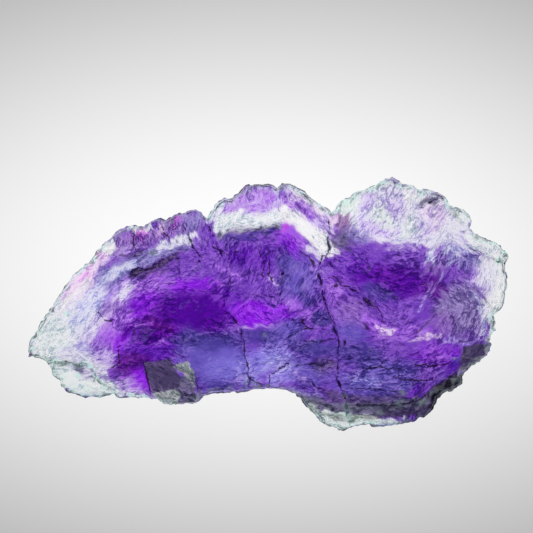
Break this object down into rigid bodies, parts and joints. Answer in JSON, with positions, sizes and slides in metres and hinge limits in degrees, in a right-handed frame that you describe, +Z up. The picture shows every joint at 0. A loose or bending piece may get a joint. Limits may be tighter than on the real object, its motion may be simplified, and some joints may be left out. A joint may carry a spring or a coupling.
{
  "type": "fluorite slab",
  "caption": "Rough, see-through slab of colour-banded purple fluorite with a ragged rim, clefts, ledges and pits, lying flat as a display specimen.",
  "frame": {"origin": "middle of the slab's box, on the surface that it rests on", "axes": "+X along the slab towards its broad rounded end, +Y towards its ragged upper rim, +Z up through its thickness"},
  "size_m": [0.1101, 0.058, 0.0097],
  "materials": {
    "fluorite": "broken crystal, see-through, glassy on cleavage faces and dull in the cracks"
  },
  "bodies": {
    "root": {"fluorite_slab": "fluorite"}
  },
  "joints": []
}
